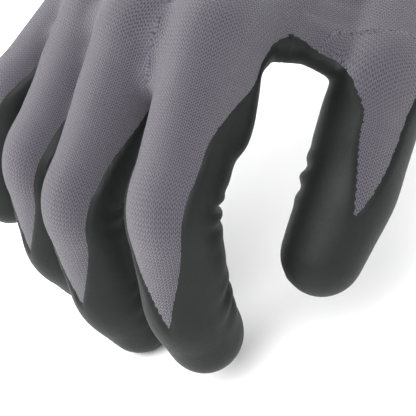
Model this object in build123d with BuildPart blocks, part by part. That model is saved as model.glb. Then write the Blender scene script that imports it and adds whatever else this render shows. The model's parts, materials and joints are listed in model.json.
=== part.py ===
from build123d import *
from collections import namedtuple
from math import cos, radians, tan
import os

os.makedirs("parts", exist_ok=True)

# A right-hand knitted work glove in the shape of a relaxed, half-closed hand.
# Millimetres. Origin at the centre of the cuff's mouth, +Y out of the mouth,
# fingers along -Y and curling down to -Z, back of the hand up, thumb on the +X side.

# Fabric
liner_wall = 0.9  # seamless knitted liner
coating_wall = 0.6  # foamed nitrile on the palm side
fold_gap = 0.35  # running gap between the nested shells at every crease

# Cuff
cuff_length = 62.0  # mouth to wrist crease
cuff_bore_radius = 28.0
cuff_bore_length = 40.0  # plain round stretch of the cuff's inside
cuff_wall = 1.6
wrist_relief = 0.8  # how much wider the cuff is inside round the wrist crease
hem_length = 5.0
hem_thickness = 1.0
wrist_bend = 30.0  # each way

# Palm: stations from the wrist crease to the knuckles
PalmStation = namedtuple("PalmStation", "reach side_shift rise half_width half_thickness")
palm_stations = [
    PalmStation(reach=26.0, side_shift=1.0, rise=-1.0, half_width=35.0, half_thickness=22.0),
    PalmStation(reach=52.0, side_shift=-2.0, rise=0.0, half_width=41.0, half_thickness=18.0),
    PalmStation(reach=80.0, side_shift=-4.0, rise=2.0, half_width=42.0, half_thickness=14.0),
]
wrist_passage_radius = 20.0
dip_line_height = -1.0  # the coating covers the palm below this height
coated_palm_start = 22.0  # from the wrist crease to where the coating begins
knuckle_socket_depth = 26.0

# Web of skin between the thumb and the index finger, from the palm outwards. Its ends, the thumb's
# root and the knuckles are all placed from the middle of the wrist crease.
web_root = (20.0, -38.0, 0.0)
web_root_radius = 13.0
web_tip = (36.0, -60.0, -4.0)
web_tip_radius = 8.0

# Digits. The knuckle is where the first free length starts, lengths run from crease to crease and
# last to the centre of the round tip, radii are over the coating at each crease and at the tip,
# rest_bends are the angles at the creases in the resting hand, and most_bends the largest ones. A
# finger's last crease has none of its own, because it bends in step with the crease before it.
Digit = namedtuple("Digit", "name knuckle lengths radii rest_bends most_bends spread drop roll segments")
finger_segments = ("proximal", "middle", "distal")
thumb_segments = ("proximal", "distal")
fingers = [
    Digit(
        name="index",
        knuckle=(27.0, -88.0, 4.0),
        lengths=(47.0, 27.0, 13.0),
        radii=(10.8, 10.9, 10.4, 9.8),
        rest_bends=(41.0, 40.0, 22.6),
        most_bends=(62.0, 74.0),
        spread=-9.8,
        drop=0.0,
        roll=1.3,
        segments=finger_segments,
    ),
    Digit(
        name="middle",
        knuckle=(5.5, -92.0, 6.0),
        lengths=(51.0, 31.0, 14.0),
        radii=(10.4, 10.6, 10.3, 9.8),
        rest_bends=(49.0, 42.0, 21.0),
        most_bends=(62.0, 74.0),
        spread=8.4,
        drop=0.0,
        roll=3.0,
        segments=finger_segments,
    ),
    Digit(
        name="ring",
        knuckle=(-15.5, -86.0, 4.0),
        lengths=(47.0, 30.0, 14.0),
        radii=(10.2, 10.2, 9.8, 9.3),
        rest_bends=(45.0, 44.0, 24.2),
        most_bends=(62.0, 74.0),
        spread=7.9,
        drop=0.0,
        roll=8.3,
        segments=finger_segments,
    ),
    Digit(
        name="little",
        knuckle=(-34.0, -76.0, -1.0),
        lengths=(38.0, 22.0, 11.5),
        radii=(9.4, 9.2, 8.8, 8.3),
        rest_bends=(32.0, 34.0, 19.0),
        most_bends=(62.0, 74.0),
        spread=19.0,
        drop=0.0,
        roll=9.0,
        segments=finger_segments,
    ),
]
thumb_root = (24.0, -18.0, -11.0)
thumb_root_radius = 15.2
thumb_base_length = 46.0
thumb_swing = -34.6
thumb_drop = 12.1
thumb_roll = 42.6
thumb_lengths = (36.0, 18.0)
thumb_radii = (12.5, 12.0, 10.1)
thumb_rest_bends = (29.0, 16.5)
thumb_most_bends = (31.0, 26.0)

# Coating edge on each digit
window_depth = 0.25  # the bare back starts this share of the radius above the digit's axis
tip_cover = 4.0  # the tip is coated all round from this far before the centre of the round tip
passage_share = 0.8  # finger passage through each nested shell, as a share of its radius


def turned(direction, axis, angle):
    """A direction turned about an axis through the origin."""
    return Vector(direction).rotate(Axis((0, 0, 0), axis), angle)


def straight_and_hinge(spread, drop, roll):
    """The direction of a straight digit, and the axis that its creases bend about."""
    straight = turned(turned((0, -1, 0), (1, 0, 0), drop), (0, 0, 1), -spread)
    hinge = turned((1, 0, 0), (0, 1, 0), roll)
    hinge = turned(turned(hinge, (1, 0, 0), drop), (0, 0, 1), -spread)
    return straight, hinge


thumb_straight, thumb_hinge = straight_and_hinge(thumb_swing, thumb_drop, thumb_roll)
thumb = Digit(
    name="thumb",
    knuckle=tuple(Vector(thumb_root) + thumb_straight * thumb_base_length),
    lengths=thumb_lengths,
    radii=thumb_radii,
    rest_bends=thumb_rest_bends,
    most_bends=thumb_most_bends,
    spread=thumb_swing,
    drop=thumb_drop,
    roll=thumb_roll,
    segments=thumb_segments,
)
digits = fingers + [thumb]
wrist = (0.0, -cuff_length, 0.0)


def most_bend(digit, crease):
    """The largest angle at a crease. A fingertip keeps its share of the middle crease's bend."""
    if crease < len(digit.most_bends):
        return digit.most_bends[crease]
    return digit.most_bends[crease - 1] * digit.rest_bends[crease] / digit.rest_bends[crease - 1]


def crease_planes(digit):
    """One plane for each free length: origin on its crease, x along it, y to the palm, z on the hinge.
    The first plane of the list is the palm's own, with the digit straight."""
    straight, hinge = straight_and_hinge(digit.spread, digit.drop, digit.roll)
    origin = Vector(wrist) + Vector(digit.knuckle)
    planes = [Plane(origin=origin, x_dir=straight, z_dir=hinge)]
    bend = 0.0
    for length, rest_bend in zip(digit.lengths, digit.rest_bends):
        bend += rest_bend
        along = straight.rotate(Axis((0, 0, 0), hinge), bend)
        planes.append(Plane(origin=origin, x_dir=along, z_dir=hinge))
        origin = origin + along * length
    return planes


def tube(plane, start, end, start_radius, end_radius, domed=False):
    """A solid taper along the plane's x axis, with a round nose where domed."""
    with BuildPart() as taper:
        with BuildSketch(plane):
            with BuildLine():
                Polyline((end, 0), (start, 0), (start, start_radius), (end, end_radius))
                if domed:
                    CenterArc((end, 0), end_radius, 0, 90)
                    Line((end, 0), (end + end_radius, 0))
                else:
                    Line((end, end_radius), (end, 0))
            make_face()
        revolve(axis=Axis(plane.origin, plane.x_dir))
    return taper.part


def ball(plane, radius):
    """A solid ball about the plane's origin, with its poles on the plane's x axis."""
    with BuildPart() as round_part:
        with Locations(Plane(origin=plane.origin, z_dir=plane.x_dir)):
            Sphere(radius)
    return round_part.part


def clearing(plane, at, palm_lean, back_lean, reach, depth, half_width):
    """The room that a bending crease needs: a prism about the hinge axis, bounded by two planes
    that lean away from it, ahead of the crease where reach is positive and behind it where not."""
    way = 1 if reach > 0 else -1
    with BuildPart() as prism:
        with BuildSketch(plane):
            with BuildLine():
                Polyline(
                    (at, 0),
                    (at - way * depth * tan(radians(palm_lean)), depth),
                    (at + reach, depth),
                    (at + reach, -depth),
                    (at - way * depth * tan(radians(back_lean)), -depth),
                    close=True,
                )
            make_face()
        extrude(amount=half_width, both=True)
    return prism.part


def back_window(plane, start, end, radius):
    """The strip along a digit's back that the coating leaves bare."""
    with BuildPart() as strip:
        with BuildSketch(plane):
            with BuildLine():
                Polyline(
                    (start, -window_depth * radius),
                    (end, -window_depth * radius),
                    (end, -2 * radius),
                    (start, -2 * radius),
                    close=True,
                )
            make_face()
        extrude(amount=2 * radius, both=True)
    return strip.part


def write(part, name):
    part.label = name
    export_step(part, f"parts/{name}.step")


def make_free_length(digit, planes, index):
    """The liner and the coating of one free length of a digit, crease to crease or crease to tip."""
    plane = planes[index + 1]
    behind = planes[index]
    length = digit.lengths[index]
    last = index == len(digit.lengths) - 1
    near = digit.radii[index]
    far = digit.radii[index + 1]
    half_gap = fold_gap / 2
    near_lean = most_bend(digit, index) / 2
    room = 2.5 * near
    inside_near = near - coating_wall - liner_wall
    inside_far = far - coating_wall - liner_wall
    nest_radius = inside_near - fold_gap
    wall_step = liner_wall / cos(radians(near_lean))
    past = 0 if last else near

    outer = tube(plane, -near, length, near, far, domed=last)
    skin = tube(plane, -near, length, near - coating_wall, far - coating_wall, domed=last)
    hollow = tube(plane, -near, length + past, inside_near, inside_far, domed=last)
    cut_behind = clearing(plane, half_gap, near_lean, 0, -room, room, room)
    cut_hollow = clearing(plane, half_gap + wall_step, near_lean, 0, -room, room, room)
    nest = ball(plane, nest_radius)
    nest_inside = ball(plane, nest_radius - liner_wall)
    passage = tube(behind, -near, 0, passage_share * nest_radius, passage_share * nest_radius)

    with BuildPart() as finger_room:
        add(hollow)
        add(cut_hollow, mode=Mode.SUBTRACT)
        add(nest_inside)
        add(passage)

    with BuildPart() as liner:
        add(skin)
        add(cut_behind, mode=Mode.SUBTRACT)
        if not last:
            far_lean = most_bend(digit, index + 1) / 2
            add(clearing(plane, length - half_gap, far_lean, 0, room, room, room), mode=Mode.SUBTRACT)
        add(nest)
        add(finger_room.part, mode=Mode.SUBTRACT)

    window_end = length - tip_cover if last else length + near
    with BuildPart() as coating:
        add(outer)
        add(skin, mode=Mode.SUBTRACT)
        add(cut_behind, mode=Mode.SUBTRACT)
        if not last:
            add(clearing(plane, length - half_gap, far_lean, 0, room, room, room), mode=Mode.SUBTRACT)
        add(back_window(plane, -near, window_end, near), mode=Mode.SUBTRACT)

    write(liner.part, f"{digit.name}_{digit.segments[index]}_liner")
    write(coating.part, f"{digit.name}_{digit.segments[index]}_coating")


def palm_solid(inset):
    """The palm, knuckle sockets, thumb base and web as one solid, inset from the coating's outside."""
    wrist_radius = cuff_bore_radius + wrist_relief + cuff_wall
    with BuildPart() as hand:
        with BuildSketch(Plane(origin=wrist, z_dir=(0, -1, 0))):
            Circle(wrist_radius - inset)
        for station in palm_stations:
            end_wall = inset if station is palm_stations[-1] else 0
            middle = (station.side_shift, -cuff_length - station.reach + end_wall, station.rise)
            with BuildSketch(Plane(origin=middle, x_dir=(1, 0, 0), z_dir=(0, -1, 0))):
                Ellipse(station.half_width - inset, station.half_thickness - inset)
        loft()
    sockets = []
    for digit in fingers:
        radius = digit.radii[0] - inset
        sockets.append(tube(crease_planes(digit)[0], -knuckle_socket_depth, radius, radius, radius))
    base = Plane(origin=Vector(wrist) + Vector(thumb_root), x_dir=thumb_straight, z_dir=thumb_hinge)
    base_end = thumb_base_length + thumb_radii[0]
    sockets.append(tube(base, 0, base_end, thumb_root_radius - inset, thumb_radii[0] - inset))
    sockets.append(ball(base, thumb_root_radius - inset))
    web_run = Vector(web_tip) - Vector(web_root)
    web_plane = Plane(origin=Vector(wrist) + Vector(web_root), x_dir=web_run.normalized(), z_dir=(0, 0, 1))
    sockets.append(
        tube(web_plane, 0, web_run.length, web_root_radius - inset, web_tip_radius - inset, domed=True)
    )
    with BuildPart() as whole:
        add(hand.part)
        for socket in sockets:
            add(socket)
    return whole.part


wrist_plane = Plane(origin=wrist, x_dir=(0, -1, 0), z_dir=(1, 0, 0))
wrist_socket_radius = cuff_bore_radius + wrist_relief
wrist_nest_radius = wrist_socket_radius - fold_gap
wrist_room = 1.6 * wrist_socket_radius

# Palm liner and coating
palm_outer = palm_solid(0)
palm_skin = palm_solid(coating_wall)
palm_inside = palm_solid(coating_wall + liner_wall)
digit_clearings = []
for digit in digits:
    near = digit.radii[0]
    widest = thumb_root_radius if digit is thumb else max(digit.radii)
    digit_clearings.append(
        clearing(
            crease_planes(digit)[0],
            -fold_gap / 2,
            most_bend(digit, 0) / 2,
            0,
            3 * near,
            1.9 * near,
            widest + fold_gap,
        )
    )
wrist_lean = wrist_bend / 2
wrist_cut = clearing(
    wrist_plane, fold_gap / 2, wrist_lean, wrist_lean, -wrist_room, wrist_room, wrist_room
)
wrist_cut_inside = clearing(
    wrist_plane, fold_gap / 2 + liner_wall, wrist_lean, wrist_lean, -wrist_room, wrist_room, wrist_room
)

with BuildPart() as hand_room:
    add(palm_inside)
    add(wrist_cut_inside, mode=Mode.SUBTRACT)
    add(ball(wrist_plane, wrist_nest_radius - liner_wall))
    add(tube(wrist_plane, -wrist_room, 0, wrist_passage_radius, wrist_passage_radius))

with BuildPart() as palm_liner:
    add(palm_skin)
    add(wrist_cut, mode=Mode.SUBTRACT)
    add(ball(wrist_plane, wrist_nest_radius))
    add(hand_room.part, mode=Mode.SUBTRACT)
    for prism in digit_clearings:
        add(prism, mode=Mode.SUBTRACT)

with BuildPart() as bare_back:
    span = 300.0
    with BuildSketch(Plane.XY.offset(dip_line_height)):
        Rectangle(span, 2 * span)
    extrude(amount=span)
    with BuildSketch(Plane(origin=(0, -cuff_length - coated_palm_start, 0), z_dir=(0, 1, 0))):
        Rectangle(span, span)
    extrude(amount=span)

with BuildPart() as palm_coating:
    add(palm_outer)
    add(bare_back.part, mode=Mode.SUBTRACT)
    for prism in digit_clearings:
        add(prism, mode=Mode.SUBTRACT)
    add(palm_skin, mode=Mode.SUBTRACT)

write(palm_liner.part, "palm_liner")
write(palm_coating.part, "palm_coating")

# Rib-knit cuff: a round bore, slightly wider round the wrist crease
cuff_outside = cuff_bore_radius + cuff_wall
with BuildPart() as knit_cuff:
    with BuildSketch(wrist_plane):
        with BuildLine():
            Polyline(
                (-cuff_length, cuff_bore_radius),
                (-cuff_length, cuff_outside),
                (-cuff_length + cuff_bore_length, cuff_outside),
                (-cuff_length + cuff_bore_length + wrist_relief, cuff_outside + wrist_relief),
                (0, cuff_outside + wrist_relief),
                (0, wrist_socket_radius),
                (-cuff_length + cuff_bore_length + wrist_relief, wrist_socket_radius),
                (-cuff_length + cuff_bore_length, cuff_bore_radius),
                close=True,
            )
        make_face()
    revolve(axis=Axis(wrist_plane.origin, wrist_plane.x_dir))
    add(
        clearing(wrist_plane, -fold_gap / 2, wrist_lean, wrist_lean, wrist_room, wrist_room, wrist_room),
        mode=Mode.SUBTRACT,
    )
write(knit_cuff.part, "knit_cuff")

# Overlocked hem round the cuff's mouth
with BuildPart() as overlock_hem:
    with BuildSketch(wrist_plane):
        with Locations((-cuff_length + hem_length / 2, cuff_outside + hem_thickness / 2)):
            Rectangle(hem_length, hem_thickness)
    revolve(axis=Axis(wrist_plane.origin, wrist_plane.x_dir))
    hem_edges = overlock_hem.edges().filter_by(GeomType.CIRCLE).sort_by(SortBy.RADIUS)[-2:]
    fillet(hem_edges, 0.4 * hem_thickness)
write(overlock_hem.part, "overlock_hem")

for digit in digits:
    planes = crease_planes(digit)
    for index in range(len(digit.lengths)):
        make_free_length(digit, planes, index)
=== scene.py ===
import json
import math

import bmesh
import bpy
import numpy as np
from mathutils import Matrix, Vector


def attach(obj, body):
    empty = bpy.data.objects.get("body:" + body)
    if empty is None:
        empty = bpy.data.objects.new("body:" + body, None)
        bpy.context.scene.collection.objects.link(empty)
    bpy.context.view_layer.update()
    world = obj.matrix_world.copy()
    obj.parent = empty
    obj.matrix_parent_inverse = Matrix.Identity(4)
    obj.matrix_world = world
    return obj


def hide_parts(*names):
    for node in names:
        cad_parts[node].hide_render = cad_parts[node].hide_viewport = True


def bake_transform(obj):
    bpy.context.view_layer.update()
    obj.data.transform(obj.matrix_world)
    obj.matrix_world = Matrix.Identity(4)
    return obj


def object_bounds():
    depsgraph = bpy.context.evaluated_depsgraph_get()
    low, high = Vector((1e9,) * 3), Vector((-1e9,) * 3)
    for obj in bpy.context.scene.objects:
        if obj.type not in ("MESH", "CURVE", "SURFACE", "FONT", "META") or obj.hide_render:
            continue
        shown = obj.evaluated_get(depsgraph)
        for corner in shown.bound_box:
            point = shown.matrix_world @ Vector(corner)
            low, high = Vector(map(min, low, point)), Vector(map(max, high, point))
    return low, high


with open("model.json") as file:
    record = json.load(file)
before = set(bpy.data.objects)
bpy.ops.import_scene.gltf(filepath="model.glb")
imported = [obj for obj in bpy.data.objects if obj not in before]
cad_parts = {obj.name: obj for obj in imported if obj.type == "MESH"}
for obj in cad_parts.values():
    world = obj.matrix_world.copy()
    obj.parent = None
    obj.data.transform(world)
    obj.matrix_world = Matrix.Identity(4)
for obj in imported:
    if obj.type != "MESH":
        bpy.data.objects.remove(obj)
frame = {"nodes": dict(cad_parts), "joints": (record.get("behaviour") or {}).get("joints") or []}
cad_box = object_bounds()

# A knitted work glove with a foam nitrile dip, in the shape of a half-closed right hand.
# The hand is modelled open, with its fingers straight, which is where the knit's rows, the
# dip's edge and every cut are simple. Each finished piece is then bent into the resting pose.
MM = 0.001
JOINT = {joint["name"]: joint for joint in frame["joints"]}
FINGERS = ("index", "middle", "ring", "little")
UP = np.array((0.0, 0.0, 1.0))

# ---------------------------------------------------------------- sizes, in millimetres
CLOTH_GRAIN = 1.1  # size of the faces that the cloth is made of
LINER_WALL = 0.9
COATING_WALL = 0.55
COATING_SHELL = 0.5  # wall of the dip's own mesh
RIB_KNIT_WALL = 1.1
CRISP_ANGLE = 60.0  # degrees; rims turn more sharply than this and stay crisp
COATING_SOAK = 0.25  # how far the nitrile has soaked into the knit
WALL_CORNERS = 6  # a face with more corners than this closes a cut, and isn't cloth
DIP_LIP = 1.3  # width over which the dip thins out to its edge

# Thickness of each digit at its creases and at its tip, and its width as a share of it
RADII = {
    "index": (12.8, 12.0, 11.2, 10.3),
    "middle": (12.8, 12.0, 11.2, 10.3),
    "ring": (12.2, 11.4, 10.6, 9.8),
    "little": (11.2, 10.1, 9.4, 8.8),
    "thumb": (13.2, 12.3, 10.6),
}
WIDTH_SHARE = {"index": 0.94, "middle": 0.9, "ring": 0.9, "little": 0.93, "thumb": 0.98}
FAN = {"middle": -1.0, "ring": 1.0, "little": 0.8}  # degrees, positive towards the thumb's side
KNUCKLE_CUT = 16.0  # the fingers' pieces begin this far behind the knuckles
THUMB_CUT = 2.0  # the thumb's piece begins this far behind its knuckle
WEB_REACH = 22.0  # from the knuckles to the webs between the fingers
WEB_SPREAD = 7.0  # how far from a web its cloth follows both fingers
WEB_TAPER = 12.0  # over which the shared cloth of a web runs out
WEB_EASE = 4.0  # it starts to run out this far before the web's end
FIRST_WEB_SPREAD = 15.0
FIRST_WEB_REACH = 18.0  # the web of the thumb, measured along the index finger
FOLD_HEIGHT = 0.9  # small folds of cloth inside each crease
FOLD_SPACING = 6.5
WALE = 1.0  # width of a stitch: a 15 gauge knit
COURSE = 0.8  # height of a stitch
BEND_ZONES = {  # length before and after each crease over which the cloth bends
    "finger": ((11.0, 12.0), (11.0, 9.0), (9.0, 9.0)),
    "thumb": ((1.0, 16.0), (11.0, 10.0)),
}


# ---------------------------------------------------------------- small helpers
def unit(vector):
    vector = np.asarray(vector, float)
    return vector / np.linalg.norm(vector)


def smooth(value):
    """0 below 0, 1 above 1, and a smooth rise between."""
    t = np.clip(value, 0.0, 1.0)
    return t * t * (3.0 - 2.0 * t)


def turn(points, centre, axis, angle):
    """Points turned about a line. The angle, in radians, may be one for each point."""
    offset = np.atleast_2d(points) - centre
    angle = np.broadcast_to(angle, len(offset))[:, None]
    along = (offset @ axis)[:, None] * axis
    turned = offset * np.cos(angle) + np.cross(axis, offset) * np.sin(angle) + along * (1 - np.cos(angle))
    return turned + centre


def points_of(mesh):
    flat = np.empty(len(mesh.vertices) * 3)
    mesh.vertices.foreach_get("co", flat)
    return flat.reshape(-1, 3)


def put_points(mesh, points):
    mesh.vertices.foreach_set("co", np.asarray(points, float).ravel())
    mesh.update()


def normals_of(mesh):
    flat = np.empty(len(mesh.vertices) * 3, np.float32)
    mesh.vertex_normals.foreach_get("vector", flat)
    return flat.reshape(-1, 3).astype(float)


def pick(obj):
    """obj alone is selected and active."""
    bpy.ops.object.select_all(action="DESELECT")
    obj.select_set(True)
    bpy.context.view_layer.objects.active = obj
    return obj


def finish_modifiers(obj):
    pick(obj)
    for name in [m.name for m in obj.modifiers]:
        bpy.ops.object.modifier_apply(modifier=name)


def settle(obj):
    """The object's place goes into its mesh."""
    pick(obj)
    bpy.ops.object.transform_apply(location=True, rotation=True, scale=True)
    return obj


def join(objects, name):
    bpy.ops.object.select_all(action="DESELECT")
    for obj in objects:
        obj.select_set(True)
    bpy.context.view_layer.objects.active = objects[0]
    bpy.ops.object.join()
    objects[0].name = name
    objects[0].data.name = name
    return objects[0]


# ---------------------------------------------------------------- the open hand's bones
class Digit:
    """One digit: where its creases lie in the open hand, and how far each bends at rest."""

    def __init__(self, name):
        self.name = name
        self.kind = "thumb" if name == "thumb" else "finger"
        self.segments = ("proximal", "distal") if name == "thumb" else ("proximal", "middle", "distal")
        crease_names = ("knuckle", "middle_joint", "tip_joint")
        if name == "thumb":
            crease_names = ("knuckle", "tip_joint")
        joints = [JOINT[f"{name}_{crease}"] for crease in crease_names]
        self.hinge = unit(joints[0]["axis"])
        self.bends = np.radians([-joint["range_deg"][0] for joint in joints])
        resting = [np.array(joint["pos_m"]) for joint in joints]
        tip_nodes = frame["nodes"][f"{name}_distal_coating"].data
        tip_points = points_of(tip_nodes)
        farthest = np.argmax(np.linalg.norm(tip_points - resting[-1], axis=1))
        resting.append(tip_points[farthest])
        self.resting = resting
        self.creases = [resting[0]]
        total = 0.0
        for index in range(len(joints)):
            total -= self.bends[index]
            bone = turn(resting[index + 1], resting[index], self.hinge, total)[0] - resting[index]
            self.creases.append(self.creases[-1] + bone)
        self.knuckle = self.creases[0]
        self.along = unit(self.creases[1] - self.creases[0])
        self.side = unit(self.hinge - self.along * (self.hinge @ self.along))
        self.palmar = np.cross(self.side, self.along)
        self.stations = [float((crease - self.knuckle) @ self.along) for crease in self.creases]
        self.radii = [radius * MM for radius in RADII[name]]
        # the open hand's fingers fan out a little, so that neighbours don't touch
        self.fan = math.radians(FAN.get(name, 0.0))
        self.fan_axis = self.palmar
        self.creases = [turn(crease, self.knuckle, self.fan_axis, self.fan)[0] for crease in self.creases]
        origin = np.zeros(3)
        self.along = turn(self.along, origin, self.fan_axis, self.fan)[0]
        self.side = turn(self.side, origin, self.fan_axis, self.fan)[0]
        self.open_hinge = turn(self.hinge, origin, self.fan_axis, self.fan)[0]
        self.zones = [(before * MM, after * MM) for before, after in BEND_ZONES[self.kind]]

    def reach(self, points):
        """How far along the digit each point is, from the knuckle."""
        return (points - self.knuckle) @ self.along

    def around(self, points):
        """Angle about the digit: 0 on its back, positive towards the thumb's side."""
        offset = points - self.knuckle
        return np.arctan2(offset @ self.side, -(offset @ self.palmar))

    def bent(self, points):
        """Points of the open hand, taken to where this digit holds them at rest."""
        reach = self.reach(points)
        for crease, station, bend, zone in reversed(
            list(zip(self.creases, self.stations, self.bends, self.zones))
        ):
            weight = smooth((reach - station + zone[0]) / (zone[0] + zone[1]))
            points = turn(points, crease, self.open_hinge, bend * weight)
        return turn(points, self.knuckle, self.fan_axis, -self.fan * weight)


DIGITS = {name: Digit(name) for name in FINGERS + ("thumb",)}
THUMB = DIGITS["thumb"]
WRIST = np.array(JOINT["wrist_bend"]["pos_m"])

# Planes that part the open hand: (point, normal towards the fingertips or towards the thumb)
index_root = DIGITS["index"].knuckle - KNUCKLE_CUT * MM * DIGITS["index"].along
little_root = DIGITS["little"].knuckle - KNUCKLE_CUT * MM * DIGITS["little"].along
KNUCKLE_PLANE = (index_root, unit(np.cross(UP, index_root - little_root)) * -1.0)
if KNUCKLE_PLANE[1] @ DIGITS["middle"].along < 0:
    KNUCKLE_PLANE = (index_root, -KNUCKLE_PLANE[1])
BETWEEN = {}
for first, second in zip(FINGERS[:-1], FINGERS[1:]):
    one, other = DIGITS[first], DIGITS[second]
    BETWEEN[first, second] = ((one.knuckle + other.knuckle) / 2, unit(one.side + other.side))
thumb_middle = (THUMB.knuckle + THUMB.creases[-1]) / 2
index_middle = (DIGITS["index"].knuckle + DIGITS["index"].creases[1]) / 2
BETWEEN["thumb", "index"] = ((thumb_middle + index_middle) / 2, unit(thumb_middle - index_middle))


def beyond(points, plane):
    return (points - plane[0]) @ plane[1]


THUMB_PLANE = (THUMB.knuckle - THUMB.along * THUMB_CUT * MM, THUMB.along)
FIRST_WEB = BETWEEN["thumb", "index"]


# ---------------------------------------------------------------- solid of the open hand
def link(start, end, start_radius, end_radius, side, width=1.0):
    """A tapered length of the hand with a round ball at each end."""
    start, end = np.asarray(start, float), np.asarray(end, float)
    along = unit(end - start)
    side = unit(np.asarray(side) - along * (np.asarray(side) @ along))
    turned = Matrix(np.column_stack((side, np.cross(along, side), along)).tolist()).to_euler()
    made = []
    bpy.ops.mesh.primitive_cone_add(
        vertices=48,
        radius1=start_radius,
        radius2=end_radius,
        depth=float(np.linalg.norm(end - start)),
        location=(start + end) / 2,
        rotation=turned,
        scale=(width, 1, 1),
    )
    made.append(bpy.context.object)
    for centre, radius in ((start, start_radius), (end, end_radius)):
        bpy.ops.mesh.primitive_uv_sphere_add(
            segments=48,
            ring_count=24,
            radius=radius,
            location=centre,
            rotation=turned,
            scale=(width, 1, 1),
        )
        made.append(bpy.context.object)
    return made


def lump(centre, half_sizes, rotation=(0, 0, 0)):
    """A smooth mound of the palm."""
    bpy.ops.mesh.primitive_uv_sphere_add(
        segments=48, ring_count=24, radius=1.0, location=centre, rotation=rotation, scale=half_sizes
    )
    return [bpy.context.object]


def make_open_hand():
    """The whole hand as one closed skin, fingers straight."""
    made = []
    for digit in DIGITS.values():
        for index in range(len(digit.creases) - 1):
            start, end = digit.creases[index], digit.creases[index + 1]
            if index == len(digit.creases) - 2:
                end = end - digit.along * digit.radii[-1]
            made += link(
                start, end, digit.radii[index], digit.radii[index + 1], digit.side, WIDTH_SHARE[digit.name]
            )
    heel = WRIST + np.array((0.0, -14.0, -1.0)) * MM
    for name, drift in zip(FINGERS, (13.0, 4.0, -5.0, -13.0)):
        digit = DIGITS[name]
        root = heel + np.array((drift, 0.0, 0.0)) * MM
        made += link(root, digit.knuckle, 20.0 * MM, digit.radii[0], (1, 0, 0))
    thumb_root = THUMB.knuckle - THUMB.along * 46.0 * MM
    made += link(thumb_root, THUMB.knuckle, 15.8 * MM, THUMB.radii[0], THUMB.side)
    made += lump(heel + np.array((-19.0, -28.0, -6.0)) * MM, (16.0 * MM, 30.0 * MM, 15.0 * MM))
    made += link(WRIST + np.array((0, 14.0, 0)) * MM, WRIST, 29.4 * MM, 29.0 * MM, (1, 0, 0))
    # the first web, a fan of thin links from the thumb's base to the index finger's
    index = DIGITS["index"]
    # the outer ones bow back towards the wrist, so that the web's edge is an arch
    back = -unit(THUMB.along + index.along)
    for thumb_reach, index_reach, radius, bow in (
        (-26.0, -44.0, 12.0, 0.0),
        (-15.0, -28.0, 9.5, 0.0),
        (-9.0, -15.0, 7.5, 0.0),
        (-2.0, -5.0, 6.5, 3.0),
        (5.0, 4.0, 5.5, 8.0),
        (10.0, 9.0, 4.5, 14.0),
    ):
        by_thumb = THUMB.knuckle + THUMB.along * thumb_reach * MM
        by_index = index.knuckle + index.along * index_reach * MM
        middle = (by_thumb + by_index) / 2 + back * bow * MM
        for end in (by_thumb, by_index):
            made += link(end, middle, radius * MM, radius * MM, UP)
    # the fullness of the cloth at the base of the index finger
    out = (index.side * 3.5 + index.palmar * 4.0) * MM
    made += link(
        index.knuckle - index.along * 2.0 * MM + out,
        index.knuckle + index.along * 24.0 * MM + out,
        10.0 * MM,
        9.0 * MM,
        index.side,
    )
    # the webs between the fingers
    for first, second in zip(FINGERS[:-1], FINGERS[1:]):
        one, other = DIGITS[first], DIGITS[second]
        for reach, radius in ((4.0, 9.0), (13.0, 7.0)):
            made += link(
                one.knuckle + one.along * reach * MM,
                other.knuckle + other.along * reach * MM,
                radius * MM,
                radius * MM,
                UP,
            )
    hand = settle(join(made, "open_hand"))
    remesh = hand.modifiers.new("skin", "REMESH")
    remesh.mode = "VOXEL"
    remesh.voxel_size = CLOTH_GRAIN * MM
    relax = hand.modifiers.new("relax", "SMOOTH")
    relax.factor = 0.5
    relax.iterations = 14
    finish_modifiers(hand)
    return hand


# ---------------------------------------------------------------- cutting the hand into pieces
def copied(obj, name):
    twin = obj.copy()
    twin.data = obj.data.copy()
    twin.name = name
    twin.data.name = name
    bpy.context.scene.collection.objects.link(twin)
    return twin


def trim(obj, plane, keep_beyond, fill):
    """Cuts the piece by a plane and keeps one side of it."""
    pick(obj)
    bpy.ops.object.mode_set(mode="EDIT")
    bpy.ops.mesh.select_all(action="SELECT")
    bpy.ops.mesh.bisect(
        plane_co=plane[0],
        plane_no=plane[1],
        use_fill=fill,
        clear_inner=keep_beyond,
        clear_outer=not keep_beyond,
        threshold=1e-7,
    )
    bpy.ops.object.mode_set(mode="OBJECT")


def open_end(obj, plane):
    """Takes away the face that closes a cut."""
    edit = bmesh.new()
    edit.from_mesh(obj.data)
    flat = [
        face
        for face in edit.faces
        if abs(face.normal.dot(Vector(plane[1]))) > 0.999
        and abs((face.calc_center_median() - Vector(plane[0])).dot(Vector(plane[1]))) < 2e-5
    ]
    bmesh.ops.delete(edit, geom=flat, context="FACES")
    edit.to_mesh(obj.data)
    edit.free()


def digit_plane(digit, reach):
    return (digit.knuckle + digit.along * reach, digit.along)


def cut_finger_piece(hand, name, index):
    """One sleeve of a finger, from the middle of one bone to the middle of the next."""
    digit = DIGITS[name]
    piece = copied(hand, f"{name}_{digit.segments[index]}_cloth")
    planes = []
    if index == 0 and digit.kind == "finger":
        planes.append((KNUCKLE_PLANE, True))
    elif index == 0:
        planes.append((THUMB_PLANE, True))
    else:
        planes.append((digit_plane(digit, (digit.stations[index - 1] + digit.stations[index]) / 2), True))
    last = index == len(digit.segments) - 1
    if not last:
        planes.append((digit_plane(digit, (digit.stations[index] + digit.stations[index + 1]) / 2), False))
    sides = []
    for (first, second), plane in BETWEEN.items():
        if second == name:
            sides.append((plane, False))
        if first == name:
            sides.append((plane, True))
    for plane, keep_beyond in sides + planes:
        trim(piece, plane, keep_beyond, fill=True)
    for plane, _ in planes:
        open_end(piece, plane)
    return piece


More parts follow.
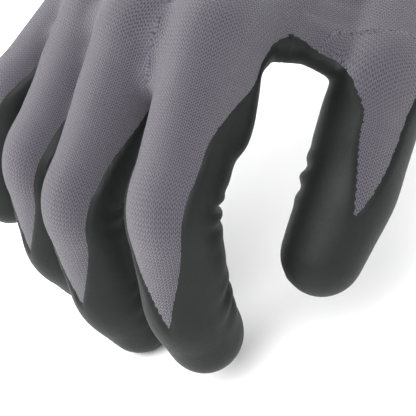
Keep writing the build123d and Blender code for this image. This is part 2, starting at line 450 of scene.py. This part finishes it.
def cut_palm_piece(hand):
    """The palm, from the cuff to the knuckles, with the thumb's base."""
    piece = copied(hand, "palm_cloth")
    edit = bmesh.new()
    edit.from_mesh(piece.data)
    for plane in (FIRST_WEB, KNUCKLE_PLANE, THUMB_PLANE):
        everything = edit.verts[:] + edit.edges[:] + edit.faces[:]
        bmesh.ops.bisect_plane(edit, geom=everything, plane_co=plane[0], plane_no=plane[1], dist=1e-7)
    gone = []
    for face in edit.faces:
        centre = np.array(face.calc_center_median())
        end = THUMB_PLANE if beyond(centre, FIRST_WEB) > 0 else KNUCKLE_PLANE
        if beyond(centre, end) > 0:
            gone.append(face)
    bmesh.ops.delete(edit, geom=gone, context="FACES")
    edit.to_mesh(piece.data)
    edit.free()
    trim(piece, (WRIST + np.array((0, 3.0 * MM, 0)), np.array((0.0, -1.0, 0.0))), True, fill=False)
    return piece


# ---------------------------------------------------------------- from the open hand to rest
def neighbours(name):
    found = []
    for (first, second), plane in BETWEEN.items():
        if second == name:
            found.append((first, plane))
        if first == name:
            found.append((second, plane))
    return found


def at_rest(points, name):
    """Where the points of the open hand lie in the resting hand. Round a web between two
    fingers the cloth follows both, so that they part smoothly."""
    if name == "palm":
        by_thumb = (beyond(points, FIRST_WEB) > 0)[:, None]
        return np.where(by_thumb, at_rest(points, "thumb"), at_rest(points, "index"))
    own = DIGITS[name]
    placed = own.bent(points)
    for other, plane in neighbours(name):
        gap = np.abs(beyond(points, plane)) / MM
        if "thumb" in (name, other):
            reach = DIGITS["index"].reach(points) / MM
            share = 0.5 * (1 - smooth(gap / FIRST_WEB_SPREAD)) * (
                1 - smooth((reach - FIRST_WEB_REACH) / WEB_TAPER)
            )
        else:
            reach = own.reach(points) / MM
            share = 0.5 * (1 - smooth(gap / WEB_SPREAD)) * (
                1 - smooth((reach - WEB_REACH + WEB_EASE) / WEB_TAPER)
            )
        placed = placed + share[:, None] * (DIGITS[other].bent(points) - own.bent(points))
    return placed


# ---------------------------------------------------------------- camera, floor and light
def aim(obj, forward, up):
    forward, up = unit(forward), unit(up)
    side = unit(np.cross(forward, up))
    up = np.cross(side, forward)
    obj.matrix_world = Matrix.Translation(obj.location) @ Matrix(
        np.column_stack((side, up, -forward)).tolist()
    ).to_4x4()


def make_camera():
    data = bpy.data.cameras.new("camera")
    camera = bpy.data.objects.new("camera", data)
    bpy.context.scene.collection.objects.link(camera)
    data.sensor_width = 36.0
    data.lens = 145.1
    data.clip_start = 0.01
    camera.location = (0.3203, -0.3941, 0.1954)
    aim(camera, (-0.672, 0.514, -0.534), (-0.226, 0.545, 0.808))
    bpy.context.scene.camera = camera


def make_floor():
    low = cad_box[0][2] - 0.0005
    bpy.ops.object.select_all(action="DESELECT")
    bpy.ops.mesh.primitive_plane_add(size=6.0, location=(0, -0.1, low))
    floor = bpy.context.object
    floor.name = "floor"
    settle(floor)
    return floor


def soft_light(name, location, target, size, power):
    data = bpy.data.lights.new(name, "AREA")
    data.shape = "DISK"
    data.size = size
    data.energy = power
    lamp = bpy.data.objects.new(name, data)
    bpy.context.scene.collection.objects.link(lamp)
    lamp.location = location
    aim(lamp, np.array(target) - np.array(location), (0.01, 0.02, 1.0))


def make_studio():
    target = (0.0, -0.12, -0.02)
    soft_light("key", (0.35, -0.75, 0.75), target, 0.9, 18.0)
    soft_light("fill", (-0.7, -0.5, 0.45), target, 0.9, 6.0)
    soft_light("back", (0.1, 0.7, 0.7), target, 0.8, 6.0)
    bpy.context.scene.view_settings.view_transform = "Standard"
    world = bpy.data.worlds.new("studio")
    bpy.context.scene.world = world
    world.use_nodes = True
    world.node_tree.nodes["Background"].inputs["Color"].default_value = (1, 1, 1, 1)
    world.node_tree.nodes["Background"].inputs["Strength"].default_value = 0.85


# ---------------------------------------------------------------- materials
def srgb(code):
    """A hex colour as the linear colour that the shaders take."""
    parts = [int(code[i : i + 2], 16) / 255 for i in (1, 3, 5)]
    return tuple(c / 12.92 if c <= 0.04045 else ((c + 0.055) / 1.055) ** 2.4 for c in parts) + (1.0,)


def add_node(tree, kind, settings=(), **links):
    """A node with its properties and its inputs, each a constant or another node's socket."""
    node = tree.nodes.new(kind)
    for key, value in dict(settings).items():
        setattr(node, key, value)
    for key, value in links.items():
        name = key.replace("_", " ")
        numbered = name.startswith("in") and name[2:].isdigit()
        socket = node.inputs[int(name[2:])] if numbered else node.inputs[name]
        if isinstance(value, bpy.types.NodeSocket):
            tree.links.new(value, socket)
        else:
            socket.default_value = value
    return node


def maths(tree, operation, first, second=0.0, third=0.0):
    settings = {"operation": operation}
    return add_node(tree, "ShaderNodeMath", settings, in0=first, in1=second, in2=third).outputs[0]


def new_material(name):
    material = bpy.data.materials.new(name)
    material.use_nodes = True
    tree = material.node_tree
    tree.nodes.clear()
    shader = add_node(tree, "ShaderNodeBsdfPrincipled")
    add_node(tree, "ShaderNodeOutputMaterial", Surface=shader.outputs[0])
    return material, tree, shader


def stitch_height(tree):
    """The height of a plain knit: each stitch is a V whose legs slant away from the wale's middle."""
    uv = add_node(tree, "ShaderNodeUVMap", {"uv_map": "stitches"}).outputs[0]
    parts = add_node(tree, "ShaderNodeSeparateXYZ", Vector=uv)
    across = maths(tree, "FRACT", parts.outputs[0])
    from_middle = maths(tree, "ABSOLUTE", maths(tree, "MULTIPLY_ADD", across, 2.0, -1.0))
    slanted = maths(tree, "MULTIPLY_ADD", from_middle, 0.75, parts.outputs[1])
    yarn = maths(tree, "SINE", maths(tree, "MULTIPLY", maths(tree, "FRACT", slanted), math.pi))
    leg = maths(tree, "SINE", maths(tree, "MULTIPLY", from_middle, math.pi))
    leg = maths(tree, "POWER", maths(tree, "MAXIMUM", leg, 0.0), 0.45)
    return maths(tree, "MULTIPLY", maths(tree, "POWER", yarn, 0.6), leg), parts


def colour_ramp(tree, value, low, high, dark, light):
    ramp = add_node(tree, "ShaderNodeValToRGB", Fac=value)
    ramp.color_ramp.elements[0].position = low
    ramp.color_ramp.elements[0].color = srgb(dark)
    ramp.color_ramp.elements[1].position = high
    ramp.color_ramp.elements[1].color = srgb(light)
    return ramp.outputs[0]


def make_nylon_knit():
    """Nylon yarn, seamless plain knit of 15 gauge: pale V stitches a millimetre wide in long
    wales, with painted shade in the gaps between the yarns, matt and slightly fuzzy at its edges."""
    material, tree, shader = new_material("nylon_plain_knit")
    height, _ = stitch_height(tree)
    place = add_node(tree, "ShaderNodeTexCoord").outputs["Object"]
    patches = add_node(tree, "ShaderNodeTexNoise", Vector=place, Scale=45.0, Detail=3.0).outputs[0]
    fibres = add_node(tree, "ShaderNodeTexNoise", Vector=place, Scale=1600.0, Detail=2.0).outputs[0]
    # painted shade: the colour is darker where the stitch height is low, in the gaps between the yarns; the
    # noises add tone that differs at random
    shade = maths(tree, "MULTIPLY_ADD", patches, 0.22, height)
    shade = maths(tree, "MULTIPLY_ADD", fibres, 0.3, shade)
    colour = colour_ramp(tree, shade, 0.42, 1.12, "#08080b", "#4c4953")
    tree.links.new(colour, shader.inputs["Base Color"])
    shader.inputs["Roughness"].default_value = 0.85
    shader.inputs["Specular IOR Level"].default_value = 0.25
    shader.inputs["Sheen Weight"].default_value = 0.25
    shader.inputs["Sheen Roughness"].default_value = 0.5
    relief = maths(tree, "MULTIPLY_ADD", fibres, 0.2, height)
    bump = add_node(tree, "ShaderNodeBump", Strength=0.8, Distance=0.35 * MM, Height=relief)
    tree.links.new(bump.outputs[0], shader.inputs["Normal"])
    return material


def make_foam_nitrile():
    """Nitrile rubber, dipped as a foam over the knit: near black and matt, with a soft wide
    sheen, a fine grain of burst bubbles and the wales of the knit faintly showing."""
    material, tree, shader = new_material("nitrile_foam_dip")
    height, _ = stitch_height(tree)
    place = add_node(tree, "ShaderNodeTexCoord").outputs["Object"]
    grain = add_node(tree, "ShaderNodeTexNoise", Vector=place, Scale=1400.0, Detail=3.0).outputs[0]
    flow = add_node(tree, "ShaderNodeTexNoise", Vector=place, Scale=70.0, Detail=4.0).outputs[0]
    colour = colour_ramp(tree, flow, 0.3, 0.7, "#0b0d0d", "#121414")
    tree.links.new(colour, shader.inputs["Base Color"])
    rough = maths(tree, "MULTIPLY_ADD", grain, 0.16, 0.46)
    tree.links.new(rough, shader.inputs["Roughness"])
    shader.inputs["Specular IOR Level"].default_value = 0.2
    relief = maths(tree, "MULTIPLY_ADD", height, 0.12, maths(tree, "MULTIPLY", grain, 0.25))
    relief = maths(tree, "MULTIPLY_ADD", flow, 1.6, relief)
    bump = add_node(tree, "ShaderNodeBump", Strength=0.55, Distance=0.4 * MM, Height=relief)
    tree.links.new(bump.outputs[0], shader.inputs["Normal"])
    return material


def make_rib_knit():
    """Nylon and elastic yarn in a rib: the same pale lavender grey, in rounded ribs, with
    shade painted into their furrows and into the gaps between the yarns."""
    material, tree, shader = new_material("elastic_rib_knit")
    height, parts = stitch_height(tree)
    place = add_node(tree, "ShaderNodeTexCoord").outputs["Object"]
    fibres = add_node(tree, "ShaderNodeTexNoise", Vector=place, Scale=1600.0, Detail=2.0).outputs[0]
    # painted shade: the colour is darker in the rib's furrows and, through the stitch height, between the
    # yarns
    painted_rib_shade = maths(tree, "COSINE", maths(tree, "MULTIPLY", parts.outputs[0], math.pi / 2))
    painted_rib_shade = maths(tree, "POWER", maths(tree, "ABSOLUTE", painted_rib_shade), 0.8)
    shade = maths(tree, "MULTIPLY_ADD", painted_rib_shade, 0.7, maths(tree, "MULTIPLY", height, 0.4))
    shade = maths(tree, "MULTIPLY_ADD", fibres, 0.3, shade)
    colour = colour_ramp(tree, shade, 0.25, 1.2, "#131218", "#6a6772")
    tree.links.new(colour, shader.inputs["Base Color"])
    shader.inputs["Roughness"].default_value = 0.88
    shader.inputs["Specular IOR Level"].default_value = 0.22
    shader.inputs["Sheen Weight"].default_value = 0.25
    bump = add_node(tree, "ShaderNodeBump", Strength=0.8, Distance=0.3 * MM, Height=height)
    tree.links.new(bump.outputs[0], shader.inputs["Normal"])
    return material


def make_overlock_thread():
    """Textured polyester thread, overlocked round the edge: dark, soft, with a fine twist."""
    material, tree, shader = new_material("polyester_overlock_thread")
    place = add_node(tree, "ShaderNodeTexCoord").outputs["Object"]
    fibres = add_node(tree, "ShaderNodeTexNoise", Vector=place, Scale=2200.0, Detail=2.0).outputs[0]
    colour = colour_ramp(tree, fibres, 0.35, 0.7, "#1d1e20", "#3c3d41")
    tree.links.new(colour, shader.inputs["Base Color"])
    shader.inputs["Roughness"].default_value = 0.7
    bump = add_node(tree, "ShaderNodeBump", Strength=0.6, Distance=0.15 * MM, Height=fibres)
    tree.links.new(bump.outputs[0], shader.inputs["Normal"])
    return material


def make_floor_paper():
    """White card, matt: it takes a faint shadow and nothing else."""
    material, tree, shader = new_material("white_card")
    place = add_node(tree, "ShaderNodeTexCoord").outputs["Object"]
    mottle = add_node(tree, "ShaderNodeTexNoise", Vector=place, Scale=8.0, Detail=2.0).outputs[0]
    colour = colour_ramp(tree, mottle, 0.2, 0.8, "#f7f7f7", "#fbfbfb")
    tree.links.new(colour, shader.inputs["Base Color"])
    shader.inputs["Roughness"].default_value = 0.9
    return material


# ---------------------------------------------------------------- the dip's edge
# On each digit's back a tongue of knit stays bare. For each: the angle of its middle, its half
# width on the little finger's side and on the thumb's side, in degrees, how much wider each side
# grows towards the knuckle, then where the tongue narrows and ends, in millimetres from the knuckle.
TONGUES = {
    "index": (10.0, (68.0, 48.0), (62.0, 58.0), 33.0, 74.0),
    "middle": (8.0, (52.0, 55.0), (45.0, 45.0), 42.0, 78.0),
    "ring": (0.0, (50.0, 50.0), (45.0, 45.0), 38.0, 73.0),
    "little": (0.0, (50.0, 50.0), (55.0, 45.0), 26.0, 56.0),
    "thumb": (-1.0, (28.0, 24.0), (118.0, 12.0), 21.0, 43.0),
}
TONGUE_POINT = 1.8
WIDENING = 30.0  # length over which a tongue widens
PALM_EDGE = -1.0  # height of the dip's edge along the side of the palm
HEEL_EDGE = 22.0  # from the wrist to where the dip begins on the heel of the hand


def tongue_depth(points, name):
    digit = DIGITS[name]
    middle, widths, widenings, narrows, ends = TONGUES[name]
    angle = np.degrees(digit.around(points)) - middle
    reach = digit.reach(points) / MM
    wider = smooth((narrows - reach) / WIDENING)
    width = np.where(angle > 0, widths[1] + widenings[1] * wider, widths[0] + widenings[0] * wider)
    late = np.maximum(reach - narrows, 0.0) / (ends - narrows)
    left = np.maximum(1.0 - late**TONGUE_POINT, 0.0)
    beside = np.abs(angle) / 57.3 * digit.radii[1] / MM - left * width / 57.3 * digit.radii[1] / MM
    return np.where(late > 1.0, np.maximum(beside, reach - ends), beside) * MM


def dip_depth(points, name):
    """How far inside the dip's edge each point of the open hand lies, in metres. Negative is bare."""
    side = PALM_EDGE * MM - points[:, 2]
    if name in ("middle", "ring", "little"):
        own = smooth((DIGITS[name].reach(points) / MM + KNUCKLE_CUT) / 10.0)
        return side * (1 - own) + tongue_depth(points, name) * own
    by_index = smooth((DIGITS["index"].reach(points) / MM + KNUCKLE_CUT) / 10.0) if name != "palm" else 0.0
    first = side * (1 - by_index) + tongue_depth(points, "index") * by_index
    by_thumb = smooth((beyond(points, FIRST_WEB) / MM + 8.0) / 16.0)
    if name == "palm":
        by_thumb = by_thumb * smooth((points[:, 0] / MM - 24.0) / 10.0)
        first = np.minimum(first, (WRIST[1] - HEEL_EDGE * MM) - points[:, 1])
    return first * (1 - by_thumb) + tongue_depth(points, "thumb") * by_thumb


# ---------------------------------------------------------------- making it
make_camera()
floor = make_floor()
floor.data.materials.append(make_floor_paper())
make_studio()
nylon_knit = make_nylon_knit()
foam_nitrile = make_foam_nitrile()
rib_knit = make_rib_knit()
overlock_thread = make_overlock_thread()


def fold_creases(points, normals, name):
    """Small folds of cloth on the palm side of each crease."""
    digit = DIGITS[name]
    reach = digit.reach(points)
    palm_side = smooth((np.abs(digit.around(points)) / math.pi - 0.35) / 0.4)
    lift = np.zeros(len(points))
    for number, station in enumerate(digit.stations[:-1]):
        if digit.kind == "finger" and number == 0:
            continue
        along = (reach - station) / MM
        wander = 1.2 * np.sin(digit.around(points) * 2.0 + number)
        lift += np.cos(2 * math.pi * (along + wander) / FOLD_SPACING) * np.exp(-((along / 6.5) ** 2))
    return points + normals * (lift * palm_side * FOLD_HEIGHT * MM)[:, None]


def flat_stitches(points):
    """Wales and courses counted over the back of the hand, and down its two sides."""
    slope = smooth((np.abs(points[:, 0]) / MM - 15.0) / 20.0) * np.sign(points[:, 0])
    return (points[:, 0] - 0.8 * slope * points[:, 2]) / (WALE * MM), -points[:, 1] / (COURSE * MM)


def lay_stitches(obj, points, name):
    """UVs that count stitches: across the wales and along them."""
    wales, courses = flat_stitches(points)
    turns = np.zeros(len(points))
    if name != "palm":
        digit = DIGITS[name]
        around = round(2 * math.pi * digit.radii[1] * 0.95 / (WALE * MM))
        start, run = (-15.0, 16.0) if digit.kind == "finger" else (-1.0, 22.0)
        offset = points - digit.knuckle
        away = np.linalg.norm(offset - (offset @ digit.along)[:, None] * digit.along, axis=1) / MM
        share = smooth((digit.reach(points) / MM - start) / run) * (1 - smooth((away - 14.0) / 6.0))
        first_wale, first_course = flat_stitches((digit.knuckle - digit.palmar * digit.radii[0])[None])
        own_wales = first_wale + digit.around(points) / (2 * math.pi) * around
        own_courses = first_course + digit.reach(points) / (COURSE * MM)
        wales = wales * (1 - share) + own_wales * share
        courses = courses * (1 - share) + own_courses * share
        turns = around * share
    mesh = obj.data
    corners = np.empty(len(mesh.loops), int)
    mesh.loops.foreach_get("vertex_index", corners)
    wales = wales[corners]
    layer = mesh.uv_layers.new(name="stitches")
    for face in mesh.polygons:
        span = slice(face.loop_start, face.loop_start + face.loop_total)
        low, high = wales[span].min(), wales[span].max()
        full = turns[corners[span]].max()
        if full > 0 and high - low > full / 2:
            wales[span] += np.where(wales[span] < (low + high) / 2, full, 0.0)
    layer.data.foreach_set("uv", np.column_stack((wales, courses[corners])).astype(np.float32).ravel())


def blend_piece(piece, name):
    """The piece's place goes into its mesh."""
    if name == "palm":
        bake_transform(piece)
        return
    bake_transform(piece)


def make_coating(cloth, depth, body):
    """The dip over a piece of cloth. Beyond its edge it sinks into the knit."""
    coating = copied(cloth, f"{body}_nitrile")
    coating.data.materials.clear()
    coating.data.materials.append(foam_nitrile)
    normals = normals_of(coating.data)
    share = smooth((depth / MM + DIP_LIP / 2) / DIP_LIP)
    height = (share * (COATING_WALL + COATING_SOAK) - COATING_SOAK) * MM
    put_points(coating.data, points_of(coating.data) + normals * height[:, None])
    edit = bmesh.new()
    edit.from_mesh(coating.data)
    edit.verts.ensure_lookup_table()
    bare = [
        face
        for face in edit.faces
        if len(face.verts) > WALL_CORNERS or max(depth[v.index] for v in face.verts) < -DIP_LIP * MM / 2
    ]
    bmesh.ops.delete(edit, geom=bare, context="FACES")
    edit.to_mesh(coating.data)
    edit.free()
    return coating


def give_wall(piece, thickness):
    wall = piece.modifiers.new("wall", "SOLIDIFY")
    wall.thickness = thickness
    wall.offset = -1.0
    wall.use_rim = True
    finish_modifiers(piece)
    bpy.ops.object.shade_smooth_by_angle(angle=math.radians(CRISP_ANGLE))


hand = make_open_hand()
pieces = [("palm", -1, cut_palm_piece(hand))]
for digit in DIGITS.values():
    for index in range(len(digit.segments)):
        pieces.append((digit.name, index, cut_finger_piece(hand, digit.name, index)))
bpy.data.objects.remove(hand)

for name, index, piece in pieces:
    opened = points_of(piece.data)
    lay_stitches(piece, opened, name)
    shaped = opened
    if name != "palm":
        shaped = fold_creases(opened, normals_of(piece.data), name)
    put_points(piece.data, at_rest(shaped, name))
    piece.data.materials.append(nylon_knit)
    body = "palm" if name == "palm" else f"{name}_{DIGITS[name].segments[index]}"
    coating = make_coating(piece, dip_depth(opened, name), body)
    give_wall(piece, LINER_WALL * MM)
    give_wall(coating, COATING_SHELL * MM)
    blend_piece(piece, name)
    blend_piece(coating, name)
    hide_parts(body + "_liner")
    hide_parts(body + "_coating")

# ---------------------------------------------------------------- cuff and hem
CUFF_RIBS = 72
CUFF_ROWS = 48
RIB_HEIGHT = 0.85
CUFF_RADIUS = 29.0
HEM_TURNS = 118
HEM_POINTS = 8
THREAD_RADIUS = 0.42
HEM_COIL = (1.15, 2.5)  # the winding's half width across the edge and along the cuff
HEM_INSET = (0.4, 2.2)  # its middle, in from the cuff's outside and down from its mouth


def make_cuff():
    """The rib-knit cuff, drawn in a little above the wrist."""
    length = -WRIST[1] / MM + 0.5
    bpy.ops.object.select_all(action="DESELECT")
    bpy.ops.mesh.primitive_cylinder_add(
        vertices=CUFF_RIBS * 6,
        radius=CUFF_RADIUS * MM,
        depth=length * MM,
        end_fill_type="NOTHING",
        location=(0, -length / 2 * MM, 0),
        rotation=(math.pi / 2, 0, 0),
    )
    cuff = settle(bpy.context.object)
    cuff.name = "rib_cuff"
    bpy.ops.object.mode_set(mode="EDIT")
    bpy.ops.mesh.select_all(action="SELECT")
    bpy.ops.mesh.subdivide_edgering(number_cuts=CUFF_ROWS, interpolation="LINEAR")
    bpy.ops.mesh.normals_make_consistent(inside=False)
    bpy.ops.object.mode_set(mode="OBJECT")
    points = points_of(cuff.data)
    angle = np.arctan2(points[:, 2], points[:, 0])
    down = -points[:, 1] / MM
    rib = np.abs(np.cos(angle * CUFF_RIBS / 2)) ** 0.7 - 0.6
    soft = 0.35 * np.sin(3 * angle + down / 9.0) + 0.25 * np.sin(5 * angle - down / 7.0)
    waist = -1.0 * np.sin(np.pi * np.clip(down / length, 0, 1)) ** 2
    ends = smooth(down / 6.0) * smooth((length - down) / 6.0)
    radius = CUFF_RADIUS + rib * RIB_HEIGHT * (0.4 + 0.6 * ends) + (soft + waist) * ends
    points[:, 0] = np.cos(angle) * radius * MM
    points[:, 2] = np.sin(angle) * radius * MM
    put_points(cuff.data, points)
    corners = np.empty(len(cuff.data.loops), int)
    cuff.data.loops.foreach_get("vertex_index", corners)
    wales = (angle / (2 * math.pi) * CUFF_RIBS * 2)[corners]
    layer = cuff.data.uv_layers.get("stitches") or cuff.data.uv_layers.new(name="stitches")
    for face in cuff.data.polygons:
        span = slice(face.loop_start, face.loop_start + face.loop_total)
        if wales[span].max() - wales[span].min() > CUFF_RIBS:
            wales[span] += np.where(wales[span] < 0, CUFF_RIBS * 2, 0.0)
    layer.data.foreach_set("uv", np.column_stack((wales, down[corners] / COURSE)).astype(np.float32).ravel())
    for other in [one.name for one in cuff.data.uv_layers if one.name != "stitches"]:
        cuff.data.uv_layers.remove(cuff.data.uv_layers[other])
    pick(cuff)
    bpy.ops.object.shade_smooth()
    give_wall(cuff, RIB_KNIT_WALL * MM)
    cuff.data.materials.append(rib_knit)
    return cuff


def make_hem():
    """Thread wound over the cuff's edge, turn by turn, as an overlock machine lays it."""
    curve = bpy.data.curves.new("overlock_edge", "CURVE")
    curve.dimensions = "3D"
    curve.bevel_depth = THREAD_RADIUS * MM
    curve.bevel_resolution = 1
    spline = curve.splines.new("NURBS")
    total = HEM_TURNS * HEM_POINTS
    spline.points.add(total - 1)
    for number in range(total):
        along = 2 * math.pi * number / total
        around = 2 * math.pi * number / HEM_POINTS
        radius = (CUFF_RADIUS - HEM_INSET[0] + HEM_COIL[0] * math.cos(around)) * MM
        depth = (-HEM_INSET[1] + HEM_COIL[1] * math.sin(around)) * MM
        spline.points[number].co = (radius * math.cos(along), depth, radius * math.sin(along), 1.0)
    spline.use_cyclic_u = True
    spline.order_u = 3
    spline.resolution_u = 1
    hem = bpy.data.objects.new("overlock_edge", curve)
    bpy.context.scene.collection.objects.link(hem)
    pick(hem)
    bpy.ops.object.convert(target="MESH")
    hem = bpy.context.object
    bpy.ops.object.shade_smooth()
    hem.data.materials.clear()
    hem.data.materials.append(overlock_thread)
    return hem


cuff = make_cuff()
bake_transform(cuff)
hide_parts("knit_cuff")
hem = make_hem()
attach(hem, "cuff")
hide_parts("overlock_hem")
